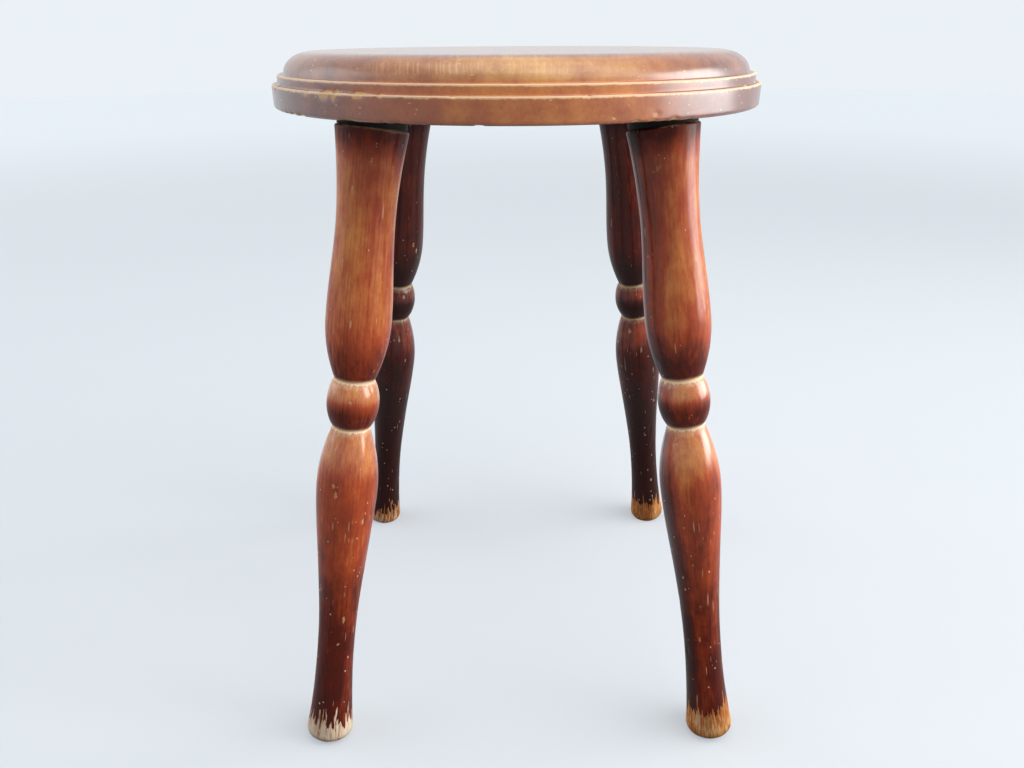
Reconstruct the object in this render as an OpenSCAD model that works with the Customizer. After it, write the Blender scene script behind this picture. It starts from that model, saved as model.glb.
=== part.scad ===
// Milking stool: a round moulded wooden seat on four splayed, turned wooden legs.
// Millimetres. +Z is up, the floor is z = 0 and the seat's axis is the Z axis.
// Front is -Y, so the front legs stand at -X -Y and +X -Y.

/* [Stool] */
// Height of the seat's top above the floor
stool_h = 440; // [380:1:600]
// Lean of each leg away from upright, in degrees
splay = 10.6; // [4:0.1:16]
// Distance in from the seat's edge to each leg's axis, at the underside
leg_inset = 38; // [29:0.5:80]

/* [Seat] */
// Diameter of the seat over its lower band
seat_d = 303; // [230:1:400]
// Thickness of the seat
seat_t = 31; // [28:0.5:45]
// Height of the lower band, from the underside to the lower arris
lower_band_h = 13.3; // [8:0.1:15]
// Height of the upper band, from the lower arris to the upper arris
upper_band_h = 5.3; // [3:0.1:7]
// How far the upper band stands in from the lower one
lower_step = 3.5; // [1:0.1:6]
// How far the top moulding stands in from the upper band
upper_step = 4; // [1:0.1:6]
// Width of the rounded top moulding, seen from above
crown_w = 18; // [6:0.5:24]
// Radius of the seat's bottom edge
rim_round = 2; // [1:0.1:6]

/* [Leg turning] */
// Diameter of the leg's square-cut top
leg_top_d = 42; // [36:0.5:48]
// Radius of the edge round the leg's top
leg_top_round = 1.5; // [0.5:0.1:3]
// Diameter at the waist, below the top
waist_d = 34.2; // [26:0.2:38]
// Diameter of the upper swell
swell_d = 39.3; // [34:0.1:46]
// Diameter of the neck above the bead
upper_neck_d = 24.8; // [18:0.2:30]
// Diameter of the bead
bead_d = 32.3; // [30:0.1:40]
// Diameter of the neck below the bead
lower_neck_d = 23; // [18:0.2:30]
// Diameter of the lower swell
vase_d = 38.6; // [34:0.1:46]
// Diameter of the ankle, the thinnest part of the long taper
ankle_d = 24.6; // [18:0.2:30]
// Diameter of the foot at its widest, just above its rounded end
foot_d = 31.4; // [24:0.5:40]
// Radius of the rounded edge at the leg's lower end
foot_round = 5; // [2:0.5:8]
// Depth that each foot is worn flat where it stands, on its inner side
foot_wear = 1.5; // [1:0.1:3]

/* [Leg heights] */
// Distance down from the leg's top to the waist
waist_drop = 50; // [40:1:60]
// Distance down from the leg's top to the widest part of the upper swell
swell_drop = 110; // [96:1:120]
// Distance down from the leg's top to the neck above the bead
upper_neck_drop = 147; // [136:1:152]
// Length of the bead between its two necks
bead_len = 31; // [24:1:36]
// Distance down from the leg's top to the widest part of the lower swell
vase_drop = 219; // [205:1:230]
// Distance up from the floor to the ankle, along the leg
ankle_up = 69; // [40:1:110]

/* [Leg fixings] */
// Width of the square mounting plate
plate_w = 48; // [46:1:52]
// Radius of the mounting plate's corners
plate_corner = 8; // [3:0.5:10]
// Thickness of the mounting plate's steel
plate_t = 1.6; // [1.2:0.1:2]
// Drop from the underside to the leg's top, along the leg
plate_drop = 7.4; // [7:0.1:10]
// Nominal diameter of the hanger bolt
bolt_d = 8; // [6:0.5:9]
// Length of the hanger bolt above the leg's top
bolt_up = 17; // [14:1:20]
// Length of the hanger bolt inside the leg
bolt_down = 32; // [24:1:40]
// Width across the flats of the welded nut
nut_af = 13; // [11:0.5:14]
// Height of the welded nut
nut_h = 6.5; // [5:0.1:7]
// Diameter of a plate screw's shank
screw_d = 3.5; // [3:0.1:4]
// Diameter of a plate screw's countersunk head
screw_head_d = 6.4; // [6:0.1:6.6]
// Length of a plate screw
screw_len = 16; // [12:1:20]
// Distance between neighbouring screws of one plate
screw_pitch = 35; // [34.6:0.1:36]
// Clearance around each bolt and screw
fit_gap = 0.1; // [0.05:0.01:0.2]
// Clearance around each nut, and beyond the end of each bolt and screw
end_gap = 1; // [0.5:0.1:2]

/* [Hidden] */

$fn = 96;

// Compass directions of the legs round the seat's axis
front_left = 225;
front_right = 315;
back_right = 45;
back_left = 135;
leg_directions = [front_left, front_right, back_right, back_left];

underside_z = stool_h - seat_t;
lower_neck_drop = upper_neck_drop + bead_len;
leg_circle_r = seat_d / 2 - leg_inset;
// The leg's axis reaches the floor this far below the leg's top
sole_drop = underside_z / cos(splay) - plate_drop;
// The leg's end is square to its axis, so it stands on the rounded inner side, which the floor trims
foot_reach = foot_round + (foot_d / 2 - foot_round) * sin(splay) - foot_wear;
foot_drop = sole_drop - foot_reach / cos(splay);
ankle_drop = sole_drop - ankle_up;

crown_h = seat_t - lower_band_h - upper_band_h;
crown_foot_r = seat_d / 2 - lower_step - upper_step;
// Radius of the worn arris on each band
arris_round = 0.6;

boss_d = leg_top_d - 2 * leg_top_round;
nut_base = plate_drop - plate_t;
nut_corners_d = nut_af / cos(30);
bolt_hole_d = bolt_d + 2 * fit_gap;
nut_hole_d = nut_corners_d + 2 * end_gap;
screw_hole_d = screw_d + 2 * fit_gap;
screw_head_h = (screw_head_d - screw_d) / 2;
screw_tip_h = screw_d;
bolt_chamfer = 1;
bolt_point_h = 7;
bolt_tip_r = bolt_d / 8;
screw_tip_r = screw_d / 10;
slot_w = 0.9;
slot_depth = 0.6;

seat_brown = [0.52, 0.23, 0.1];
leg_brown = [0.4, 0.13, 0.06];
plate_black = [0.13, 0.13, 0.14];
bolt_steel = [0.62, 0.62, 0.64];
screw_steel = [0.5, 0.47, 0.4];

// How sharply the flare above the waist opens, and how early the long taper leaves its swell
flare_power = 1.8;
taper_power = 0.8;
// The rounded top edge stops at this angle, where it meets the flare
top_arc_end = 15;

// Smooth step from 0 to 1, level at both ends
function ease(u) = (1 - cos(180 * u)) / 2;
function mix(a, b, u) = a + (b - a) * u;
function arc(cx, cz, rx, rz, from, to, steps) = [
    for (i = [0 : steps])
        let (a = mix(from, to, i / steps)) [cx + rx * cos(a), cz + rz * sin(a)]
];

// The seat's cross-section: lower band, small step, upper band, small step, rounded crown
function seat_outline() = concat(
    [[0, 0]],
    arc(seat_d / 2 - rim_round, rim_round, rim_round, rim_round, -90, 0, 6),
    arc(seat_d / 2 - arris_round, lower_band_h - arris_round, arris_round, arris_round, 0, 90, 3),
    [[seat_d / 2 - lower_step, lower_band_h]],
    arc(seat_d / 2 - lower_step - arris_round, lower_band_h + upper_band_h - arris_round,
        arris_round, arris_round, 0, 90, 3),
    arc(crown_foot_r - crown_w, seat_t - crown_h, crown_w, crown_h, 0, 90, 14),
    [[0, seat_t]]
);

// Radius of the turned leg at a distance t below its top, one moulding after another
function leg_r(t) =
    t < waist_drop ? mix(waist_d, leg_top_d, pow(1 - t / waist_drop, flare_power)) / 2 :
    t < swell_drop ? mix(waist_d, swell_d, ease((t - waist_drop) / (swell_drop - waist_drop))) / 2 :
    t < upper_neck_drop ? upper_swell_r(t) :
    t < lower_neck_drop ? bead_r(t) :
    t < vase_drop ? lower_swell_r(t) :
    t < ankle_drop ? taper_r((t - vase_drop) / (ankle_drop - vase_drop)) :
    mix(ankle_d, foot_d, pow((t - ankle_drop) / (foot_drop - ankle_drop), 2)) / 2;

// The underside of the upper swell, falling away to the neck
function upper_swell_r(t) =
    mix(swell_d, upper_neck_d, pow((t - swell_drop) / (upper_neck_drop - swell_drop), 2)) / 2;

// The shoulder of the lower swell, rising from the neck
function lower_swell_r(t) =
    mix(vase_d, lower_neck_d, pow((vase_drop - t) / (vase_drop - lower_neck_drop), 2)) / 2;

// The long taper from the lower swell to the ankle, u being 0 to 1 along it
function taper_r(u) = mix(vase_d, ankle_d, ease(pow(u, taper_power))) / 2;

// The bead is an egg cut off at its two necks
bead_top_x = sqrt(1 - pow(upper_neck_d / bead_d, 2));
bead_low_x = sqrt(1 - pow(lower_neck_d / bead_d, 2));
bead_half = bead_len / (bead_top_x + bead_low_x);
bead_mid = upper_neck_drop + bead_half * bead_top_x;
function bead_r(t) = bead_d / 2 * sqrt(1 - pow((t - bead_mid) / bead_half, 2));

// Heights of the profile's points: close together on the bead, wider on the long sweeps
function steps_between(a, b, n) = [for (i = [0 : n - 1]) mix(a, b, i / n)];
function leg_heights() = concat(
    steps_between(leg_top_round, waist_drop, 8),
    steps_between(waist_drop, swell_drop, 10),
    steps_between(swell_drop, upper_neck_drop, 9),
    steps_between(upper_neck_drop, lower_neck_drop, 14),
    steps_between(lower_neck_drop, vase_drop, 10),
    steps_between(vase_drop, ankle_drop, 18),
    steps_between(ankle_drop, foot_drop, 9)
);
function leg_outline() = concat(
    [[0, 0]],
    arc(leg_r(leg_top_round) - leg_top_round, -leg_top_round, leg_top_round, leg_top_round,
        90, top_arc_end, 4),
    [for (t = leg_heights()) [leg_r(t), -t]],
    arc(foot_d / 2 - foot_round, -foot_drop, foot_round, foot_round, 0, -90, 7),
    [[0, -foot_drop - foot_round]]
);

// Puts children where a leg's axis meets the underside: level, or tilted with the leg
module at_joint(direction) {
    rotate([0, 0, direction]) translate([leg_circle_r, 0, underside_z]) children();
}

module along_leg(direction) {
    at_joint(direction) rotate([0, -splay, 0]) children();
}

module at_screws() {
    for (x = [-1, 1], y = [-1, 1])
        translate([x * screw_pitch / 2, y * screw_pitch / 2, 0]) children();
}

module seat() {
    color(seat_brown) difference() {
        translate([0, 0, underside_z]) rotate_extrude() polygon(seat_outline());
        for (direction = leg_directions) {
            // room for the bolt's end and for the welded nut
            along_leg(direction) translate([0, 0, -seat_t / 2])
                cylinder(d = nut_hole_d, h = seat_t / 2 + bolt_up - plate_drop + end_gap);
            at_joint(direction) at_screws() translate([0, 0, -end_gap])
                cylinder(d = screw_hole_d, h = screw_len - plate_t + 2 * end_gap);
        }
    }
}

module leg(direction) {
    color(leg_brown) difference() {
        along_leg(direction) translate([0, 0, -plate_drop]) difference() {
            rotate_extrude() polygon(leg_outline());
            translate([0, 0, -bolt_down - end_gap])
                cylinder(d = bolt_hole_d, h = bolt_down + 2 * end_gap);
        }
        // the sole is cut level with the floor
        translate([-seat_d, -seat_d, -seat_d]) cube([2 * seat_d, 2 * seat_d, seat_d]);
    }
}

module plate_blank() {
    straight = plate_w - 2 * plate_corner;
    translate([-straight / 2, -plate_w / 2, -plate_t]) cube([straight, plate_w, plate_t]);
    translate([-plate_w / 2, -straight / 2, -plate_t]) cube([plate_w, straight, plate_t]);
    for (x = [-1, 1], y = [-1, 1])
        translate([x * straight / 2, y * straight / 2, -plate_t])
            cylinder(r = plate_corner, h = plate_t);
}

// A disc along the leg's axis, from a drop below the underside up to the underside's level
module leg_disc(d, drop) {
    intersection() {
        rotate([0, -splay, 0]) translate([0, 0, -drop]) cylinder(d = d, h = 2 * drop + d);
        translate([-d, -d, -2 * d]) cube([2 * d, 2 * d, 2 * d]);
    }
}

// Pressed steel plate whose hollow boss faces along the leg, with a nut welded inside
module mounting_plate(direction) {
    color(plate_black) at_joint(direction) difference() {
        union() {
            difference() {
                union() {
                    plate_blank();
                    leg_disc(boss_d, plate_drop);
                }
                rotate([0, -splay, 0]) translate([0, 0, -nut_base])
                    cylinder(d = boss_d - 2 * plate_t, h = plate_drop + boss_d);
            }
            rotate([0, -splay, 0]) translate([0, 0, -plate_drop + plate_t / 2])
                cylinder(d = nut_corners_d, h = nut_h + plate_t / 2, $fn = 6);
        }
        rotate([0, -splay, 0]) translate([0, 0, -plate_drop - end_gap])
            cylinder(d = bolt_hole_d, h = plate_drop + nut_h + 2 * end_gap);
        at_screws() {
            translate([0, 0, -plate_t - end_gap])
                cylinder(d = screw_hole_d, h = plate_t + 2 * end_gap);
            translate([0, 0, -plate_t])
                cylinder(d1 = screw_head_d + 2 * fit_gap, d2 = screw_hole_d, h = screw_head_h);
        }
    }
}

// Double-ended stud: machine end up into the plate's nut, pointed wood end down in the leg
module hanger_bolt(direction) {
    color(bolt_steel) along_leg(direction) translate([0, 0, -plate_drop]) rotate_extrude()
        polygon([
            [0, bolt_up],
            [bolt_d / 2 - bolt_chamfer, bolt_up],
            [bolt_d / 2, bolt_up - bolt_chamfer],
            [bolt_d / 2, bolt_point_h - bolt_down],
            [bolt_tip_r, -bolt_down],
            [0, -bolt_down]
        ]);
}

// Four countersunk wood screws hold each plate to the underside
module plate_screws(direction) {
    color(screw_steel) at_joint(direction) at_screws() difference() {
        translate([0, 0, -plate_t]) rotate_extrude() polygon([
            [0, 0],
            [screw_head_d / 2, 0],
            [screw_d / 2, screw_head_h],
            [screw_d / 2, screw_len - screw_tip_h],
            [screw_tip_r, screw_len],
            [0, screw_len]
        ]);
        translate([-screw_head_d, -slot_w / 2, -plate_t - slot_depth])
            cube([2 * screw_head_d, slot_w, 2 * slot_depth]);
    }
}

seat();
leg(front_left);  // leg_front_left
leg(front_right);  // leg_front_right
leg(back_right);  // leg_back_right
leg(back_left);  // leg_back_left
mounting_plate(front_left);  // mounting_plate_front_left
mounting_plate(front_right);  // mounting_plate_front_right
mounting_plate(back_right);  // mounting_plate_back_right
mounting_plate(back_left);  // mounting_plate_back_left
hanger_bolt(front_left);  // hanger_bolt_front_left
hanger_bolt(front_right);  // hanger_bolt_front_right
hanger_bolt(back_right);  // hanger_bolt_back_right
hanger_bolt(back_left);  // hanger_bolt_back_left
plate_screws(front_left);  // plate_screws_front_left
plate_screws(front_right);  // plate_screws_front_right
plate_screws(back_right);  // plate_screws_back_right
plate_screws(back_left);  // plate_screws_back_left
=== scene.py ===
import math
import random

import bpy
from mathutils import Matrix, Vector


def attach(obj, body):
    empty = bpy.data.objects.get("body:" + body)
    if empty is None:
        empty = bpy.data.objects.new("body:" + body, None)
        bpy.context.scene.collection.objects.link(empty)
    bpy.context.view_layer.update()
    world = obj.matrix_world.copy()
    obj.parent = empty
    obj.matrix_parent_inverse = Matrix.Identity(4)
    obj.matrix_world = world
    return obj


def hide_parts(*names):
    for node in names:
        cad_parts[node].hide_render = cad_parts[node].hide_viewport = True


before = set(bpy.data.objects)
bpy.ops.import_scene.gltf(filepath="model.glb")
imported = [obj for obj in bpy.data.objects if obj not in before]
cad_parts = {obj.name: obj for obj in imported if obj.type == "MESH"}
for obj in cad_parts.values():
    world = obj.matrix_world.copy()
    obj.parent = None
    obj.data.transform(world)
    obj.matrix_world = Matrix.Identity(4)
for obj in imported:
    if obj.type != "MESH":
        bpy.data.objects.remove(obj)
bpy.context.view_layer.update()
mm = 0.001
print("frame loaded:", len(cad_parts), "nodes")

# Camera

photoCamera = {
    "lens": 27.25,
    "place": (-0.0059, -0.5349, 0.4492),
    "pitch": 24.35,  # degrees below the horizon
    "turn": -0.249,
    "roll": -0.296,
}


def setCamera():
    bpy.ops.object.camera_add()
    camera = bpy.context.object
    camera.data.lens = photoCamera["lens"]
    turn, tilt, roll = (math.radians(a) for a in (
        photoCamera["turn"], 90 - photoCamera["pitch"], photoCamera["roll"]))
    camera.matrix_world = (
        Matrix.Translation(photoCamera["place"]) @ Matrix.Rotation(turn, 4, "Z")
        @ Matrix.Rotation(tilt, 4, "X") @ Matrix.Rotation(roll, 4, "Z"))
    camera.data.clip_start = 0.01
    bpy.context.scene.camera = camera


setCamera()
print("camera set")

# Shader helpers


class Wire:
    # a socket that can be added, multiplied and compared like a number
    def __init__(self, board, socket):
        self.board = board
        self.socket = socket

    def maths(self, operation, *values, clamp=False):
        return self.board.add(
            "ShaderNodeMath", {"operation": operation, "use_clamp": clamp}, dict(enumerate(values)))

    def __add__(self, other):
        return self.maths("ADD", self, other)

    def __sub__(self, other):
        return self.maths("SUBTRACT", self, other)

    def __rsub__(self, other):
        return self.maths("SUBTRACT", other, self)

    def __mul__(self, other):
        return self.maths("MULTIPLY", self, other)

    def __truediv__(self, other):
        return self.maths("DIVIDE", self, other)

    __radd__ = __add__
    __rmul__ = __mul__

    def size(self):
        return self.maths("ABSOLUTE", self)

    def larger(self, other):
        return self.maths("MAXIMUM", self, other)

    def held(self):
        return self.maths("ADD", self, 0, clamp=True)


class Board:
    # the node tree of one material, or of the world
    def __init__(self, owner):
        owner.use_nodes = True
        self.owner = owner
        self.tree = owner.node_tree
        self.tree.nodes.clear()

    def add(self, kind, settings={}, sockets={}, out=0):
        node = self.tree.nodes.new(kind)
        for name, value in settings.items():
            if name == "stops":
                while len(node.color_ramp.elements) < len(value):
                    node.color_ramp.elements.new(1)
                for element, (place, colour) in zip(node.color_ramp.elements, value):
                    element.position = place
                    element.color = colour
            else:
                setattr(node, name, value)
        for name, value in sockets.items():
            if isinstance(value, Wire):
                self.tree.links.new(value.socket, node.inputs[name])
            else:
                node.inputs[name].default_value = value
        return Wire(self, node.outputs[out]) if node.outputs else None

    def split(self, vector):
        x = self.add("ShaderNodeSeparateXYZ", {}, {0: vector})
        return [Wire(self, socket) for socket in x.socket.node.outputs]

    def join(self, x, y, z):
        return self.add("ShaderNodeCombineXYZ", {}, {0: x, 1: y, 2: z})

    def vector(self, operation, *values, out=0):
        return self.add(
            "ShaderNodeVectorMath", {"operation": operation}, dict(enumerate(values)), out)

    def length(self, x, y, z):
        return self.vector("LENGTH", self.join(x, y, z), out=1)

    def noise(self, place, scale, detail=2.0, roughness=0.5):
        return self.add("ShaderNodeTexNoise", {}, {
            "Vector": place, "Scale": scale, "Detail": detail, "Roughness": roughness})

    def figures(self, place, table):
        # one noise for each row: how it is stretched, its scale, detail and roughness
        return {
            name: self.noise(self.vector("MULTIPLY", place, stretch), scale, detail, roughness)
            for name, (stretch, scale, detail, roughness) in table.items()}

    def noiseAlong(self, value, scale, detail):
        return self.add("ShaderNodeTexNoise", {"noise_dimensions": "1D"}, {
            "W": value, "Scale": scale, "Detail": detail})

    def cells(self, place, stretch, scale):
        # the distance to the nearest of many scattered points
        return self.add("ShaderNodeTexVoronoi", {}, {
            "Vector": self.vector("MULTIPLY", place, stretch), "Scale": scale, "Randomness": 1.0})

    def weigh(self, figures, shares, shift):
        # the figures added up, each times its share
        total = shift
        for name, share in shares.items():
            total = figures[name] * share + total
        return total

    def ease(self, value, low, high):
        return self.add("ShaderNodeMapRange", {"interpolation_type": "SMOOTHSTEP"}, {
            0: value, 1: low, 2: high, 3: 0.0, 4: 1.0})

    def zone(self, value, rise, fall):
        # 1 between the two slopes and 0 outside them
        return self.ease(value, *rise) * (1 - self.ease(value, *fall))

    def seenRays(self):
        # 1 for what the camera sees, also in a reflection or through glass, and 0 for light
        rays = self.add("ShaderNodeLightPath").socket.node.outputs
        camera, glossy, clear = (Wire(self, rays[kind]) for kind in (
            "Is Camera Ray", "Is Glossy Ray", "Is Transmission Ray"))
        return camera.larger(glossy).larger(clear)

    def mix(self, amount, first, second, blend="MIX"):
        return self.add("ShaderNodeMix", {"data_type": "RGBA", "blend_type": blend}, {
            0: amount, 6: first, 7: second}, out=2)

    def ramp(self, value, *stops):
        return self.add("ShaderNodeValToRGB", {"stops": stops}, {0: value})

    def finish(self, sockets, height=None, depth=0.001):
        if height:
            sockets = dict(sockets, Normal=self.add("ShaderNodeBump", {}, {
                "Height": height, "Distance": depth, "Strength": 1.0}))
        shader = self.add("ShaderNodeBsdfPrincipled", {}, sockets)
        self.add("ShaderNodeOutputMaterial", {}, {0: shader})
        return self.owner


def webColour(text):
    # a web colour as the linear numbers that a shader takes
    parts = [int(text[i:i + 2], 16) / 255 for i in (0, 2, 4)]
    linear = [c / 12.92 if c <= 0.04045 else ((c + 0.055) / 1.055) ** 2.4 for c in parts]
    return tuple(linear) + (1.0,)


def webColours(finish):
    return {name: webColour(text) for name, text in finish.items()}


# Modelling helpers

weldGap = 0.002 * mm  # vertices nearer than this become one
smoothAngle = math.radians(40)  # sharper edges stay sharp
dentShape = {"reach": 1.3, "steepness": 1.6}


def startPiece(name, point):
    # one vertex, ready to be extruded into an outline
    bpy.ops.object.select_all(action="DESELECT")
    bpy.ops.mesh.primitive_plane_add(size=mm, location=(0, 0, 0))
    piece = bpy.context.object
    piece.name = piece.data.name = name
    bpy.ops.object.mode_set(mode="EDIT")
    bpy.ops.mesh.merge(type="CENTER")
    bpy.ops.transform.translate(value=point)
    return piece


def drawOutline(points):
    # extrudes the selected vertex from point to point
    for last, point in zip(points, points[1:]):
        step = Vector(point) - Vector(last)
        bpy.ops.mesh.extrude_region_move(TRANSFORM_OT_translate={"value": step})


def spinOutline(facets):
    bpy.ops.mesh.select_all(action="SELECT")
    bpy.ops.mesh.spin(steps=facets, angle=2 * math.pi, center=(0, 0, 0), axis=(0, 0, 1))
    bpy.ops.mesh.select_all(action="SELECT")
    bpy.ops.mesh.remove_doubles(threshold=weldGap)
    bpy.ops.mesh.normals_make_consistent(inside=False)
    bpy.ops.object.mode_set(mode="OBJECT")


def onlyPiece(piece):
    bpy.ops.object.select_all(action="DESELECT")
    piece.select_set(True)
    bpy.context.view_layer.objects.active = piece


def copyPiece(piece, name):
    onlyPiece(piece)
    bpy.ops.object.duplicate()
    copy = bpy.context.object
    copy.name = copy.data.name = name
    return copy


def placePiece(piece, matrix):
    onlyPiece(piece)
    piece.matrix_world = matrix
    bpy.ops.object.transform_apply(location=True, rotation=True, scale=True)


def pressIn(piece, name, weights, depth):
    # pushes the surface in along its normals, as far as each vertex's weight says
    onlyPiece(piece)
    group = piece.vertex_groups.new(name=name)
    for index, weight in weights.items():
        group.add([index], weight, "REPLACE")
    dent = piece.modifiers.new(name, "DISPLACE")
    dent.vertex_group = name
    dent.mid_level = 0
    dent.strength = -depth
    bpy.ops.object.modifier_apply(modifier=name)
    piece.vertex_groups.clear()


def storeWear(piece, weights):
    # the same weights for the material, so that a chip is also bare
    wear = piece.data.attributes.new("wear", "FLOAT", "POINT")
    for index, weight in weights.items():
        wear.data[index].value = weight


def arc(centre, radii, start, end, steps):
    points = []
    for i in range(steps + 1):
        angle = math.radians(start + (end - start) * i / steps)
        points.append((
            centre[0] + radii[0] * math.cos(angle), 0, centre[1] + radii[1] * math.sin(angle)))
    return points


def shortTurn(angle, at):
    # from one angle to another in degrees, the short way round
    return (angle - at + 180) % 360 - 180


def dentWeight(away):
    # how deep a dent is at a distance from its middle, where 1 is its half size
    return max(0, min(1, (dentShape["reach"] - away) * dentShape["steepness"]))


# Seat

seatSizes = {
    "radius": 151.5 * mm,
    "top": 440 * mm,
    "underside": 409 * mm,
    "lowerBand": 13.3 * mm,
    "upperBand": 5.3 * mm,
    "lowerStep": 3.5 * mm,
    "upperStep": 4 * mm,
    "crownWidth": 18 * mm,
    "rimRound": 2 * mm,
    "arrisRound": 0.8 * mm,
    "fillet": 0.6 * mm,
    "facets": 640,
    "wearWidth": 1.6 * mm,  # of the two worn arrises
    "wearDepth": 0.25 * mm,
    "wearSeed": 3,
    "chipDepth": 0.4 * mm,
    "chipSeed": 11,
}


def seatOutline():
    s = seatSizes
    r, base = s["radius"], s["underside"]
    low = base + s["lowerBand"]
    high = low + s["upperBand"]
    upperEdge = r - s["lowerStep"]
    foot = upperEdge - s["upperStep"]
    worn, rim, crown, fillet = s["arrisRound"], s["rimRound"], s["crownWidth"], s["fillet"]
    points = [(f * (r - rim), 0, base) for f in (0, 0.3, 0.6, 0.85, 0.96)]
    points += arc((r - rim, base + rim), (rim, rim), -90, 0, 8)
    points += [(r, 0, base + h * mm) for h in (2.8, 4, 5.2, 6.5, 8, 9.5, 11)]
    points += arc((r - worn, low - worn), (worn, worn), 0, 90, 5)
    points += [(r - s["lowerStep"] * f, 0, low) for f in (0.5, 0.8)]
    points += arc((upperEdge + fillet, low + fillet), (fillet, fillet), 270, 180, 3)
    points += [(upperEdge, 0, low + h * mm) for h in (1.6, 2.6, 3.6)]
    points += arc((upperEdge - worn, high - worn), (worn, worn), 0, 90, 5)
    points += arc((foot + fillet, high + fillet), (fillet, fillet), 270, 180, 3)
    crownFrom = foot - crown
    points += arc((crownFrom, high), (crown, s["top"] - high), 5, 90, 22)
    points += [(crownFrom * f, 0, s["top"]) for f in (0.97, 0.85, 0.6, 0.3, 0)]
    return points


def makeSeat():
    outline = seatOutline()
    seat = startPiece("seatBoard", outline[0])
    drawOutline(outline)
    spinOutline(seatSizes["facets"])
    return seat


def wobble(seed, waves):
    # a smooth uneven line round a circle, from -1 to 1
    dice = random.Random(seed)
    parts = [(dice.randint(low, high), dice.uniform(0, 2 * math.pi)) for low, high in waves]
    return lambda a: sum(math.sin(n * a + shift) for n, shift in parts) / len(parts)


# angle round the seat from the front in degrees, height above the underside,
# half length and half height, the last three in millimetres
seatChips = [
    (-35.2, 0.4, 6.0, 1.1), (-26.2, 0.3, 1.8, 0.9), (-23.2, 0.5, 3.4, 1.2), (-7.4, 0.2, 2.2, 0.7),
    (22.2, 0.5, 2.4, 1.2), (24.0, 0.2, 1.6, 0.9), (26.0, 0.4, 2.6, 1.2), (28.6, 0.3, 2.4, 1.0),
    (30.9, 0.6, 2.2, 1.3), (35.0, 0.3, 1.8, 0.8), (26.5, 3.6, 1.6, 0.7), (17.5, 2.8, 1.2, 0.8),
    (-41.3, 12.4, 4.6, 2.2), (-38.4, 12.2, 2.2, 2.9), (-32.0, 12.6, 4.8, 1.8),
    (-26.8, 12.6, 2.2, 1.2), (-12.0, 13.2, 1.0, 0.7), (-47.5, 12.5, 2.4, 1.0),
    (12.4, 12.9, 1.6, 0.8), (58.0, 12.6, 3.0, 1.2),
]
# at the sides and back: how many more, and the ranges of the same four numbers
moreChips = [
    (26, (50, 310), (0, 0.8), (1, 4), (0.7, 1.4)),
    (16, (60, 300), (12, 13), (1, 4.5), (0.8, 2.2)),
]


def chipSeat(seat):
    s = seatSizes
    dice = random.Random(s["chipSeed"])
    chips = list(seatChips)
    for count, *ranges in moreChips:
        for number in range(count):
            chips.append(tuple(dice.uniform(low, high) for low, high in ranges))
    ragged = wobble(s["wearSeed"], ((40, 60), (70, 95), (110, 150), (19, 31), (150, 190)))
    # all in millimetres from here on
    radius, base, wearWidth = s["radius"] / mm, s["underside"] / mm, s["wearWidth"] / mm
    lowAt = s["lowerBand"] / mm
    highAt = lowAt + s["upperBand"] / mm
    upperEdge = radius - s["lowerStep"] / mm
    chipped, worn = {}, {}
    for vertex in seat.data.vertices:
        x, y, z = vertex.co / mm
        out, up = math.hypot(x, y), z - base
        if out < radius - 12 or up > highAt + 1:
            continue  # only the two bands are chipped
        angle = math.degrees(math.atan2(x, -y))
        best = 0
        for at, height, length, tall in chips:
            along = math.radians(shortTurn(angle, at)) * radius
            best = max(best, dentWeight(math.hypot(along / length, (up - height) / tall)))
        if best > 0:
            chipped[vertex.index] = best
        edge = min(
            abs(up - lowAt) + abs(out - radius), abs(up - highAt) + abs(out - upperEdge))
        if edge < wearWidth:
            wear = 0.5 + 0.5 * ragged(math.radians(angle))
            worn[vertex.index] = (1 - edge / wearWidth) * wear
    pressIn(seat, "wornArrises", worn, s["wearDepth"])
    pressIn(seat, "chips", chipped, s["chipDepth"])
    storeWear(seat, chipped)


seatBoard = makeSeat()
chipSeat(seatBoard)
print("seat turned:", len(seatBoard.data.polygons), "faces")

# Legs

legSizes = {
    "splay": 10.6,
    "circle": 113.5 * mm,
    "underside": 409 * mm,
    "plateDrop": 7.4 * mm,
    "diameters": {
        "top": 42, "waist": 34.2, "swell": 39.3, "upperNeck": 24.8, "bead": 32.3,
        "lowerNeck": 23, "vase": 38.6, "ankle": 24.6, "foot": 31.4},
    "drops": {"waist": 50, "swell": 110, "upperNeck": 147, "lowerNeck": 178, "vase": 219},
    "ankleUp": 69,
    "topRound": 1.5,
    "footRound": 5,
    "footWear": 1.5,
    "boreRadius": 4.1,
    "boreDepth": 33,
    "flarePower": 1.8,
    "taperPower": 0.8,
    "steps": (2.4, 2.6, 1.8, 1.1, 1.9, 2.6, 2.2),  # between points, part by part
    "facets": 112,
    "soleCut": 0.001 * mm,  # how far off the floor the cut may leave a vertex
    "moreKnocks": 30,
    "knockDepth": 0.35 * mm,
    "unevenDepth": 0.22 * mm,
}
legDirections = {"front_left": 225, "front_right": 315, "back_right": 45, "back_left": 135}


def between(a, b, u):
    return a + (b - a) * u


def easeInOut(u):
    return (1 - math.cos(math.pi * u)) / 2


def legDrops():
    # how far below the leg's top its sole, its foot and its ankle are, in millimetres
    s, d = legSizes, legSizes["diameters"]
    splay = math.radians(s["splay"])
    sole = s["underside"] / mm / math.cos(splay) - s["plateDrop"] / mm
    reach = s["footRound"] + (d["foot"] / 2 - s["footRound"]) * math.sin(splay) - s["footWear"]
    return sole, sole - reach / math.cos(splay), sole - s["ankleUp"]


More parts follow.
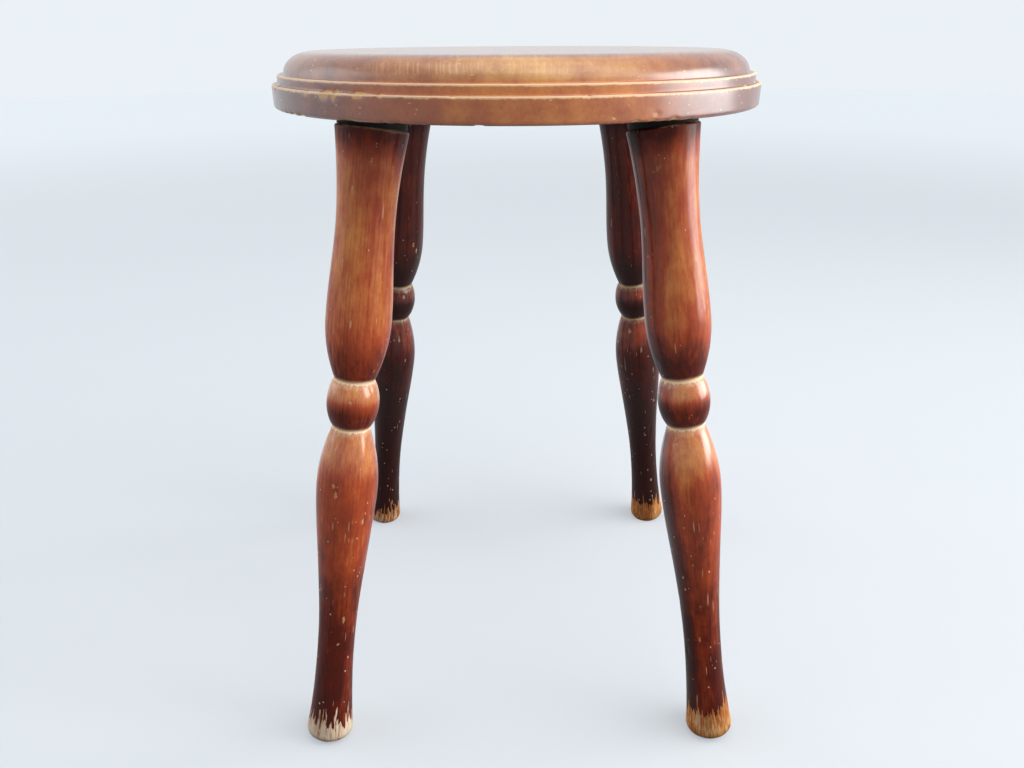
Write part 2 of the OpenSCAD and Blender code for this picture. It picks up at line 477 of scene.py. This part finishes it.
def legRadius(t):
    # radius of the turned leg at t millimetres below its top
    s, d, drops = legSizes, legSizes["diameters"], legSizes["drops"]
    sole, foot, ankle = legDrops()
    waist, swell, vase = drops["waist"], drops["swell"], drops["vase"]
    upper, lower = drops["upperNeck"], drops["lowerNeck"]
    if t < waist:
        return between(d["waist"], d["top"], (1 - t / waist) ** s["flarePower"]) / 2
    if t < swell:
        return between(d["waist"], d["swell"], easeInOut((t - waist) / (swell - waist))) / 2
    if t < upper:
        return between(d["swell"], d["upperNeck"], ((t - swell) / (upper - swell)) ** 2) / 2
    if t < lower:
        top = math.sqrt(1 - (d["upperNeck"] / d["bead"]) ** 2)
        low = math.sqrt(1 - (d["lowerNeck"] / d["bead"]) ** 2)
        half = (lower - upper) / (top + low)
        return d["bead"] / 2 * math.sqrt(1 - ((t - upper - half * top) / half) ** 2)
    if t < vase:
        return between(d["vase"], d["lowerNeck"], ((vase - t) / (vase - lower)) ** 2) / 2
    if t < ankle:
        along = ((t - vase) / (ankle - vase)) ** s["taperPower"]
        return between(d["vase"], d["ankle"], easeInOut(along)) / 2
    return between(d["ankle"], d["foot"], ((t - ankle) / (foot - ankle)) ** 2) / 2


def legOutline():
    s = legSizes
    foot = legDrops()[1]
    topRound = s["topRound"]
    bore, deep = s["boreRadius"], -s["boreDepth"]
    points = [(0, 0, deep), (bore, 0, deep), (bore, 0, 0)]
    points += [(legRadius(topRound) - topRound - 6, 0, 0)]
    points += arc((legRadius(topRound) - topRound, -topRound), (topRound, topRound), 90, 15, 5)
    drops = s["drops"]
    stops = [topRound] + [drops[k] for k in ("waist", "swell", "upperNeck", "lowerNeck", "vase")]
    stops += [legDrops()[2], foot]
    for start, end, gap in zip(stops, stops[1:], s["steps"]):
        count = round((end - start) / gap)
        for i in range(count):
            t = between(start, end, i / count)
            points.append((legRadius(t), 0, -t))
    footRadius, edge = s["diameters"]["foot"] / 2, s["footRound"]
    points += arc((footRadius - edge, -foot), (edge, edge), 0, -90, 9)
    points += [(5, 0, -foot - edge), (0, 0, -foot - edge)]
    return [tuple(c * mm for c in point) for point in points]


def turnLeg():
    outline = legOutline()
    leg = startPiece("turnedLeg", outline[0])
    drawOutline(outline)
    spinOutline(legSizes["facets"])
    return leg


def legMatrix(direction):
    s = legSizes
    return (Matrix.Rotation(math.radians(direction), 4, "Z")
            @ Matrix.Translation((s["circle"], 0, s["underside"]))
            @ Matrix.Rotation(math.radians(-s["splay"]), 4, "Y")
            @ Matrix.Translation((0, 0, -s["plateDrop"])))


def keepTurnedPlace(leg):
    # where each vertex was on the lathe, for the grain
    place = leg.data.attributes.new("turned", "FLOAT_VECTOR", "POINT")
    for vertex, item in zip(leg.data.vertices, place.data):
        item.vector = vertex.co


def trimSole(leg):
    onlyPiece(leg)
    bpy.ops.object.mode_set(mode="EDIT")
    bpy.ops.mesh.select_all(action="SELECT")
    bpy.ops.mesh.bisect(
        plane_co=(0, 0, 0), plane_no=(0, 0, 1), clear_inner=True, use_fill=True,
        threshold=legSizes["soleCut"])
    bpy.ops.object.mode_set(mode="OBJECT")


# knocks that the eye picks out: millimetres below the top, angle round the
# leg as it was turned, half length along the leg and half width
legKnocks = {
    "front_left": [
        (218, 33, 4, 1.3), (212, 28, 2, 1.6), (310, 72, 3.4, 1.4), (158, 48, 1.3, 1.3),
        (18, 57, 3.4, 1.0), (34, 24, 4, 1.0), (106, 87, 2, 1.0), (330, 60, 1.6, 1.3)],
    "front_right": [
        (24, 285, 1.5, 2.8), (21, 293, 1.3, 1.6), (155, 306, 1.4, 1.1), (328, 297, 2, 1.2)],
    "back_right": [
        (188, 195, 3, 1.8), (263, 270, 2, 1.3), (356, 249, 2, 1.3), (300, 230, 2, 1.2)],
    "back_left": [
        (154, 168, 2, 1.6), (112, 189, 3, 1.3), (106, 178, 2, 1.2), (214, 177, 2, 1.3)],
}


def knockLeg(leg, name, seed):
    dice = random.Random(seed)
    knocks = [knock + (1,) for knock in legKnocks[name]]
    for number in range(legSizes["moreKnocks"]):
        # mostly low down, and few of them down to the pale wood
        knocks.append((
            395 - 380 * dice.random() ** 1.5, dice.uniform(0, 360), dice.uniform(1.6, 5),
            dice.uniform(1.2, 2.2), dice.choice((0.1, 0.2, 0.45))))
    dented, bared, uneven = {}, {}, {}
    lump = wobble(seed, ((2, 3), (4, 6), (7, 9)))
    for vertex in leg.data.vertices:
        x, y, z = vertex.co / mm
        if math.hypot(x, y) < 8:
            continue  # the bore and the middle of each end stay true
        angle, t = math.atan2(y, x), -z
        best, bare = 0, 0
        for down, at, length, width, paleness in knocks:
            if abs(t - down) > dentShape["reach"] * length:
                continue
            along = math.radians(shortTurn(math.degrees(angle), at)) * legRadius(down)
            weight = dentWeight(math.hypot((t - down) / length, along / width))
            best = max(best, weight)
            bare = max(bare, weight * paleness)
        if best > 0:
            dented[vertex.index] = best
            bared[vertex.index] = bare
        uneven[vertex.index] = 0.5 + 0.5 * lump(angle + t * 0.013)
    pressIn(leg, "uneven", uneven, legSizes["unevenDepth"])
    pressIn(leg, "knocks", dented, legSizes["knockDepth"])
    storeWear(leg, bared)


firstLeg = turnLeg()
keepTurnedPlace(firstLeg)
print("leg turned:", len(firstLeg.data.polygons), "faces")

legs = {}
for name, direction in legDirections.items():
    leg = copyPiece(firstLeg, "turnedLeg_" + name)
    knockLeg(leg, name, direction)
    placePiece(leg, legMatrix(direction))
    trimSole(leg)
    legs[name] = leg
bpy.data.objects.remove(firstLeg)
print("legs placed:", len(legs))

# Finishes

legFinish = {
    "deepStain": "2a0c07",
    "darkStain": "561707",
    "midStain": "a8451e",
    "lightStain": "d98c46",
    "wornCream": "f2d5b0",
    "knockTan": "cf9f70",
    "bareBrown": "96582c",
    "bareWood": "c4935c",
    "paleBare": "d6c6ae",
    "grime": "7c6a5a",
}


# each figure in the wood: how it is stretched along the leg (less is longer),
# its scale, its detail and its roughness
legGrain = {
    "streak": ((1, 1, 0.08), 560, 3, 0.6),
    "fine": ((1, 1, 0.1), 1700, 2, 0.6),
    "mottle": ((1, 1, 0.6), 90, 4, 0.65),
    "broad": ((1, 1, 0.25), 45, 2, 0.5),
    "bend": ((1, 1, 0.2), 22, 2, 0.5),
    "knockPatch": ((1, 1, 1), 95, 1, 0.5),
    "scratch": ((1, 1, 0.05), 900, 0, 0.5),
    "scratchPatch": ((1, 1, 1), 60, 1, 0.5),
    "rag": ((1, 1, 0.3), 560, 4, 0.7),
    "spike": ((1, 1, 0.05), 330, 3, 0.62),
    "tallSpike": ((1, 1, 0.03), 560, 1, 0.5),
    "cutEdge": ((1, 1, 1), 700, 3, 0.7),
    "bare": ((1, 1, 0.08), 900, 2, 0.5),
    "rub": ((1, 1, 1), 60, 3, 0.6),
}
legRings = {"heart": (-0.031, 0.052), "bend": 0.016, "scale": 620}  # round a heart outside the leg
legShares = {"streak": 0.24, "rings": 0.16, "mottle": 0.4, "broad": 0.36}  # of the stain's tone

# where painted shade and painted light go on the leg, and where it grows darker towards the
# foot: the slopes in and out of each zone, or into it, in millimetres below the leg's top
legZones = {
    "paintedShadeSwell": ((106, 143), (146, 149)),
    "paintedShadeBead": ((156, 168), (177, 180)),
    "paintedLightBead": ((148, 150), (154, 162)),
    "paintedLightVase": ((179, 182), (190, 212)),
    "paintedShadowTop": (2, 22),
    "darkVase": (192, 230),
    "darkFoot": (230, 335),
    "moreKnocks": (120, 330),
}

# "darker" is how much darker the whole leg is, its own stain and, on the two back legs,
# also painted shade from the seat above; "bareUp" how far up the foot is bare and "spikes"
# how long its spikes are (both in millimetres), "paleFoot" how grey the bare wood has gone,
# "darkAt" the side with painted shade in degrees, "darkFrom" how far round it begins (1 is
# not at all, -1 is all the way) and "darkBy" how much darker it is
legLooks = {
    "front_left": {
        "seed": 3.1, "darker": -0.11, "gloss": 0.55, "bareUp": 17, "spikes": 40,
        "paleFoot": 0.6, "neckWear": 1, "darkAt": 30, "darkFrom": 0.3, "darkBy": 0.03},
    "front_right": {
        "seed": 7.4, "darker": -0.1, "gloss": 0.55, "bareUp": 23, "spikes": 40,
        "paleFoot": -0.1, "neckWear": 1, "darkAt": 222, "darkFrom": 0.3, "darkBy": 0.26},
    "back_right": {
        "seed": 12.2, "darker": 0.03, "gloss": 0.3, "bareUp": 25, "spikes": 46,
        "paleFoot": -0.2, "neckWear": 0.55, "darkAt": 216, "darkFrom": -0.75, "darkBy": 0.21},
    "back_left": {
        "seed": 17.9, "darker": 0.04, "gloss": 0.3, "bareUp": 17, "spikes": 46,
        "paleFoot": 0.2, "neckWear": 0.5, "darkAt": 144, "darkFrom": -0.75, "darkBy": 0.23},
}


def legWood(name, look):
    c = webColours(legFinish)
    zones = legZones
    soleDrop = legDrops()[0]
    board = Board(bpy.data.materials.new("legWood_" + name))
    place = board.add("ShaderNodeAttribute", {"attribute_name": "turned"}, {}, out=1)
    wear = board.add("ShaderNodeAttribute", {"attribute_name": "wear"}, {}, out=2)
    x, y, z = board.split(place)
    t = z * -1000  # millimetres below the leg's top
    seed = look["seed"]
    shifted = board.vector("ADD", place, (seed * 1.7, seed * 0.9, seed * 1.3))
    f = board.figures(shifted, legGrain)
    heartX, heartY = legRings["heart"]
    heart = board.length(x - heartX, y - heartY, f["bend"] * legRings["bend"])
    f["rings"] = board.noiseAlong(heart + seed, legRings["scale"], 2)
    # painted shade on the swell just above the upper neck and on the lower half of the bead, and a
    # painted shadow of the seat on the top of the leg; the leg also grows darker down towards the
    # foot
    deep = board.zone(t, *zones["paintedShadeSwell"]).larger(board.zone(t, *zones["paintedShadeBead"]))
    lower = board.ease(t, *zones["darkVase"]) * 0.5 + board.ease(t, *zones["darkFoot"]) * 0.7
    deep = deep.larger(lower).larger(1 - board.ease(t, *zones["paintedShadowTop"]))
    # painted light on the upper half of the bead and on the top of the vase, which also get more
    # coat
    paintedLight = board.zone(t, *zones["paintedLightBead"]).larger(board.zone(t, *zones["paintedLightVase"]))
    # painted shade down one side of the leg
    darkAt, darkFrom = math.radians(look["darkAt"]), look["darkFrom"]
    darkWay = (x * math.cos(darkAt) + y * math.sin(darkAt)) / (board.length(x, y, 0.0) + 0.0001)
    paintedShadeSide = board.ease(darkWay, darkFrom, darkFrom + 0.7) * look["darkBy"]
    tone = board.weigh(f, legShares, -0.09)
    tone = tone - deep * 0.26 + paintedLight * 0.11 - look["darker"] - paintedShadeSide
    colour = board.ramp(
        tone, (0.08, c["deepStain"]), (0.29, c["darkStain"]), (0.52, c["midStain"]),
        (0.76, c["lightStain"]))
    pores = board.ease(f["fine"], 0.60, 0.72)
    colour = board.mix(pores * 0.4, colour, c["darkStain"])
    # small knocks and scratches that show the pale wood, more of them lower down
    low = board.ease(t, *zones["moreKnocks"])
    spot = board.cells(shifted, (1, 1, 0.7), 210)
    knocks = board.ease(0.05 + low * 0.04 + f["fine"] * 0.1 - spot, 0.0, 0.04)
    knocks = knocks * board.ease(f["knockPatch"] + low * 0.05, 0.56, 0.6)
    scratches = board.ease(f["scratch"], 0.76, 0.79) * board.ease(f["scratchPatch"], 0.55, 0.62)
    # worn rings at the two necks, ragged below
    rag = (f["rag"] - 0.5) * 4.5
    wornRings = []
    for neck in ("upperNeck", "lowerNeck"):
        under = t - legSizes["drops"][neck]
        ring = board.ease(under, -1.6, -0.7) * (1 - board.ease(under + rag, 0.6, 2.0))
        halo = board.ease(under, -2.8, -0.6) * (1 - board.ease(under + rag * 1.5, 0.8, 4.4))
        wornRings.append((ring * 0.95).larger(halo * 0.45))
    necks = wornRings[0].larger(wornRings[1]) * look["neckWear"]
    # the foot's finish is worn off in spikes along the grain
    bareFrom = soleDrop - look["bareUp"]
    tall = board.ease(f["tallSpike"], 0.56, 0.72) * 11
    bare = board.ease(t + (f["spike"] - 0.5) * look["spikes"] + tall, bareFrom, bareFrom + 1.2)
    cut = board.ease(wear + (f["cutEdge"] - 0.5) * 1.5, 0.65, 0.85) * 0.75
    brown = board.ease(f["mottle"] * 0.6 + f["bare"] * 0.4, 0.4, 0.6)
    bareTone = board.mix(brown, c["bareBrown"], c["bareWood"])
    paled = f["mottle"] * 0.5 + f["bare"] * 0.5 + look["paleFoot"] * 0.3
    bareTone = board.mix(board.ease(paled, 0.5, 0.72), bareTone, c["paleBare"])
    # a little stain is left between the spikes, and the sole's edge is grimy
    stained = board.ease(f["streak"] + (soleDrop - t) * 0.004, 0.56, 0.68)
    stained = stained * (1 - board.ease(t, soleDrop - 12, soleDrop - 5))
    bareTone = board.mix(stained * 0.5, bareTone, c["midStain"])
    grimy = board.ease(t + f["mottle"] * 3, soleDrop - 7, soleDrop)
    bareTone = board.mix(grimy * 0.5, bareTone, c["grime"], "MULTIPLY")
    # a painted highlight along the rounded top edge, broken up in places
    edge = (1 - board.ease(t, 0.7, 1.7)) * board.ease(f["rub"], 0.42, 0.62)
    pale = (knocks + scratches * 0.6 + edge * 0.6).held()
    colour = board.mix(pale * 0.6, colour, c["wornCream"])
    colour = board.mix(necks, colour, c["wornCream"])
    colour = board.mix(cut, colour, c["knockTan"])
    colour = board.mix(bare, colour, bareTone)
    unlacquered = bare.larger(cut).larger(necks * 0.6)  # where the lacquer is gone
    height = f["fine"] * -0.25 + f["streak"] * 0.3 + f["mottle"] * 0.8
    return board.finish({
        "Base Color": colour,
        "Roughness": 0.4 + f["broad"] * 0.12 + unlacquered * 0.35,
        "Specular IOR Level": 0.08,
        "Coat Weight": (1 - unlacquered) * (1 - deep * 0.7 + paintedLight * 1.6) * look["gloss"],
        "Coat Roughness": 0.18,
    }, height - knocks * 0.8 - unlacquered * 0.4, 0.2 * mm)


for name, leg in legs.items():
    leg.data.materials.append(legWood(name, legLooks[name]))
    onlyPiece(leg)
    bpy.ops.object.shade_smooth_by_angle(angle=smoothAngle)
    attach(leg, "root")
    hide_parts("leg_" + name)
print("legs finished")

seatFinish = {
    "deepStain": "421c0b",
    "darkStain": "672c12",
    "midStain": "a8622a",
    "lightStain": "dba560",
    "bandTint": "ffdca0",
    "goldRing": "f0c88a",
    "wornCream": "eccba2",
    "chipGold": "dfb982",
}


# stretched front to back, as the board's grain runs: the same four numbers as for a leg
seatGrain = {
    "streak": ((1, 0.035, 1), 520, 3, 0.6),
    "fine": ((1, 0.06, 1), 1700, 2, 0.6),
    "mottle": ((1, 1, 1), 60, 4, 0.62),
    "broad": ((1, 0.3, 1), 24, 2, 0.5),
    "bend": ((1, 0.18, 1), 14, 2, 0.5),
    "blotch": ((1, 1, 1), 17, 3, 0.6),
    "scuffPatch": ((1, 1, 1), 150, 2, 0.5),
    "jag": ((1, 1, 1), 260, 3, 0.6),
}
seatRings = {"heart": (-0.0108, 0.4345), "bend": 0.009, "scale": 560}  # across, and above the floor
edgeShares = {"streak": 0.14, "rings": 0.02, "mottle": 0.44, "broad": 0.3, "blotch": 0.4}
faceShares = {"streak": 0.3, "rings": 0.34, "mottle": 0.16, "broad": 0.3}

# the slope into each zone, and out of the ring lines', in millimetres above the underside
seatZones = {
    "offUnderside": (0.1, 0.6),
    "upperBand": (13, 13.6),
    "offBands": (18.5, 21),
    "crown": (18.5, 24.5),
    "ringLines": ((21.2, 24), (26.5, 29)),
    "top": (29, 30.9),
}


def seatWood():
    c = webColours(seatFinish)
    s, zones = seatSizes, seatZones
    board = Board(bpy.data.materials.new("seatWood"))
    place = board.add("ShaderNodeTexCoord", {}, {}, out=3)
    wear = board.add("ShaderNodeAttribute", {"attribute_name": "wear"}, {}, out=2)
    x, y, z = board.split(place)
    up = z * 1000 - s["underside"] / mm  # millimetres above the underside
    out = board.length(x, y, 0.0) * 1000  # and from the middle
    f = board.figures(place, seatGrain)
    heartX, heartZ = seatRings["heart"]
    heart = board.length(x - heartX, 0.0, z - heartZ)
    f["rings"] = board.noiseAlong(heart + f["bend"] * seatRings["bend"], seatRings["scale"], 2)
    # the upper band and the crown are lighter than the lower band, the crown a little more, as
    # painted light where it faces up
    tone = board.weigh(f, edgeShares, -0.08)
    tone = tone + board.ease(up, *zones["upperBand"]) * 0.06
    tone = tone + board.ease(up, *zones["crown"]) * 0.02
    # painted shade towards both ends of the board, darker away from its middle
    tone = tone - board.ease((x - 0.008).size(), 0.02, 0.12) * 0.3
    # the top and the underside show the long grain, front to back
    onTop = board.ease(up, *zones["top"])
    underneath = 1 - board.ease(up, *zones["offUnderside"])
    longGrain = board.weigh(f, faceShares, -0.13)
    tone = tone + (longGrain - tone) * onTop.larger(underneath)
    colour = board.ramp(
        tone, (0.10, c["deepStain"]), (0.30, c["darkStain"]), (0.52, c["midStain"]),
        (0.76, c["lightStain"]))
    onBands = 1 - board.ease(up, *zones["offBands"])
    colour = board.mix(onBands, colour, c["bandTint"], "MULTIPLY")
    pores = board.ease(f["fine"], 0.60, 0.72)
    colour = board.mix(pores * 0.3, colour, c["darkStain"])
    # fine pale scuffs
    spot = board.cells(place, (0.5, 0.5, 1), 420)
    scuffs = board.ease(0.16 + f["mottle"] * 0.1 - spot, 0.0, 0.05)
    scuffs = scuffs * board.ease(f["scuffPatch"], 0.56, 0.66)
    colour = board.mix(scuffs * (1 - onTop) * 0.4, colour, c["goldRing"])
    # the rings show best on the crown, where the stain has rubbed thin
    nearHeart = 1 - board.ease((x + 0.02).size(), 0.02, 0.065)
    ringLine = board.ease(f["rings"], 0.52, 0.62) * board.zone(up, *zones["ringLines"])
    ringLine = ringLine * nearHeart * board.ease(f["mottle"], 0.3, 0.6)
    colour = board.mix(ringLine * 0.32, colour, c["goldRing"])
    # the two arrises are worn to the wood all the way round
    jag = f["jag"] - 0.5
    lowAt = s["lowerBand"] / mm
    highAt = lowAt + s["upperBand"] / mm
    edgeAt = s["radius"] / mm
    upperEdge = edgeAt - s["lowerStep"] / mm
    low = board.ease(out, edgeAt - 2.1, edgeAt - 1.4)
    low = low * board.ease(up + jag * 1.8, lowAt - 1.5, lowAt - 0.6)
    high = board.ease(out, upperEdge - 2.1, upperEdge - 1.4)
    high = high * board.ease(up + jag * 1.2, highAt - 1.4, highAt - 0.6)
    high = high * (1 - board.ease(up, highAt + 0.3, highAt + 0.6))
    lines = low.larger(high)
    cut = board.ease(wear + jag * 1.1, 0.3, 0.9)
    colour = board.mix(cut * 0.8, colour, c["chipGold"])
    colour = board.mix(lines * 0.85, colour, c["wornCream"])
    unlacquered = cut.larger(lines * 0.6)  # where the lacquer is gone
    grain = (f["fine"] * -0.25 + f["streak"] * 0.3) * (1 - onTop * 0.85)
    return board.finish({
        "Base Color": colour,
        "Roughness": (
            0.42 + f["broad"] * 0.12 + unlacquered * 0.3 - onTop * 0.22 + underneath * 0.3),
        "Specular IOR Level": 0.45,
        "Coat Weight": (1 - unlacquered) * (1 - underneath),
        "Coat Roughness": 0.23,
        "Coat IOR": 1.55,
    }, grain - unlacquered * 0.4, 0.2 * mm)


seatBoard.data.materials.append(seatWood())
onlyPiece(seatBoard)
bpy.ops.object.shade_smooth_by_angle(angle=smoothAngle)
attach(seatBoard, "root")
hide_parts("seat")
print("seat finished")

metalFinish = {
    "plateBlack": "0a0a0b",
    "plateScuff": "2a2928",
    "boltSteel": "9a9a9c",
    "screwZinc": "a89a72",
    "dulled": "5c5348",
}


def blackPlate():
    c = webColours(metalFinish)
    board = Board(bpy.data.materials.new("blackPlate"))
    place = board.add("ShaderNodeTexCoord", {}, {}, out=3)
    speckle = board.noise(place, 900, 3)
    scuff = board.ease(board.noise(place, 260, 4, 0.7), 0.6, 0.72)
    return board.finish({
        "Base Color": board.mix(scuff * 0.6, c["plateBlack"], c["plateScuff"]),
        "Roughness": 0.55 + speckle * 0.2,
        "Metallic": scuff * 0.4,
        "Specular IOR Level": 0.2,
    }, speckle, 0.06 * mm)


def plainSteel(name, colour):
    c = webColours(metalFinish)
    board = Board(bpy.data.materials.new(name))
    place = board.add("ShaderNodeTexCoord", {}, {}, out=3)
    rub = board.noise(place, 700, 4, 0.65)
    dull = board.mix(rub, c[colour], c["dulled"], "MULTIPLY")
    return board.finish({
        "Base Color": board.mix(board.ease(rub, 0.4, 0.7), c[colour], dull),
        "Roughness": 0.28 + rub * 0.25,
        "Metallic": 1.0,
    }, rub, 0.04 * mm)


finishes = {
    "mounting_plate": blackPlate(),
    "hanger_bolt": plainSteel("boltSteel", "boltSteel"),
    "plate_screws": plainSteel("screwSteel", "screwZinc"),
}
for name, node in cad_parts.items():
    for start, finish in finishes.items():
        if name.startswith(start):
            node.data.materials.clear()
            node.data.materials.append(finish)
print("fixings finished")

# Floor, light and background

studio = {
    "floor": "acafb2",
    "nearGlow": "969ca1",  # keeps the floor pale without more light on the object
    "farGlow": "bdc5c9",
    "floorShade": "4e2e20",  # a warm bounce under the object
    "floorRadius": 7,
    "glowFrom": 0.3,
    "glowTo": 4.5,
    "backdrop": (0.83, 0.88, 0.92, 1),
    "light": (0.93, 0.96, 1.0, 1),
    "front": 0.12,
    "behind": 1.15,
    "left": 1.75,
    "right": 1.9,
}
lamps = {
    "side": {
        "place": (2.2, -0.12, 0.86), "target": (0, 0, 0.45), "size": (1.9, 1.5),
        "power": 18, "colour": (1.0, 0.99, 0.97), "spread": 90},
    "fill": {
        "place": (-2.2, 0.3, 1.2), "target": (0, 0, 0.45), "size": (1.9, 1.5),
        "power": 3.2, "colour": (0.96, 0.98, 1.0), "spread": 90},
    "key": {
        "place": (0.55, -0.6, 1.25), "target": (0, 0, 0.3), "size": (0.9, 0.9),
        "power": 3.6, "colour": (1.0, 0.97, 0.92), "spread": 180},
    "ceiling": {
        "place": (0.0, -0.3, 1.9), "target": (0, 0, 0.4), "size": (1.5, 1.5),
        "power": 8, "colour": (1.0, 0.98, 0.96), "spread": 180},
}


def layFloor():
    s = studio
    c = {k: webColour(s[k]) for k in ("floor", "nearGlow", "farGlow", "floorShade")}
    bpy.ops.object.select_all(action="DESELECT")
    bpy.ops.mesh.primitive_circle_add(
        vertices=96, radius=s["floorRadius"], fill_type="NGON", location=(0, 0, 0))
    floor = bpy.context.object
    floor.name = "floor"
    board = Board(bpy.data.materials.new("paleFloor"))
    seen = board.seenRays()
    away = board.vector("LENGTH", board.add("ShaderNodeTexCoord", {}, {}, out=3), out=1)
    glow = board.mix(board.ease(away, s["glowFrom"], s["glowTo"]), c["nearGlow"], c["farGlow"])
    board.finish({
        "Base Color": board.mix(seen, c["floorShade"], c["floor"]),
        "Roughness": 0.8,
        "Specular IOR Level": 0.1,
        "Emission Color": board.mix(seen, (0, 0, 0, 1), glow),
        "Emission Strength": 1.0,
    })
    floor.data.materials.append(board.owner)


def lightWorld():
    world = bpy.data.worlds.new("studio")
    bpy.context.scene.world = world
    board = Board(world)
    seen = board.seenRays()
    x, y, z = board.split(board.add("ShaderNodeTexCoord", {}, {}, out=0))
    # brightest at the two sides, plain behind and dim in front
    behind = board.ease(y, -0.3, 0.2) * (1 - board.ease(z, 0.5, 0.85))
    sides = (1 - board.ease(z, 0.65, 0.95)) * board.ease(z, -0.25, 0.05)
    left = board.ease(x * -1, 0.35, 0.85) * board.ease(y, -0.85, -0.35) * sides
    right = board.ease(x, 0.35, 0.75) * sides
    strength = studio["front"] + behind * (studio["behind"] - studio["front"])
    strength = strength.larger(left * studio["left"]).larger(right * studio["right"])
    lit = board.add("ShaderNodeBackground", {}, {0: studio["light"], 1: strength})
    shown = board.add("ShaderNodeBackground", {}, {0: studio["backdrop"], 1: 1.0})
    both = board.add("ShaderNodeMixShader", {}, {0: seen, 1: lit, 2: shown})
    board.add("ShaderNodeOutputWorld", {}, {0: both})


def addLamp(name, place, target, size, power, colour, spread):
    bpy.ops.object.light_add(type="AREA", location=place)
    lamp = bpy.context.object
    lamp.name = name
    lamp.data.shape = "RECTANGLE"
    lamp.data.size, lamp.data.size_y = size
    lamp.data.energy = power
    lamp.data.spread = math.radians(spread)
    lamp.data.color = colour
    away = Vector(place) - Vector(target)
    lamp.rotation_euler = away.to_track_quat("Z", "Y").to_euler()


layFloor()
lightWorld()
for name, lamp in lamps.items():
    addLamp(name, **lamp)
print("studio lit")

view = bpy.context.scene.view_settings
view.view_transform = "Standard"
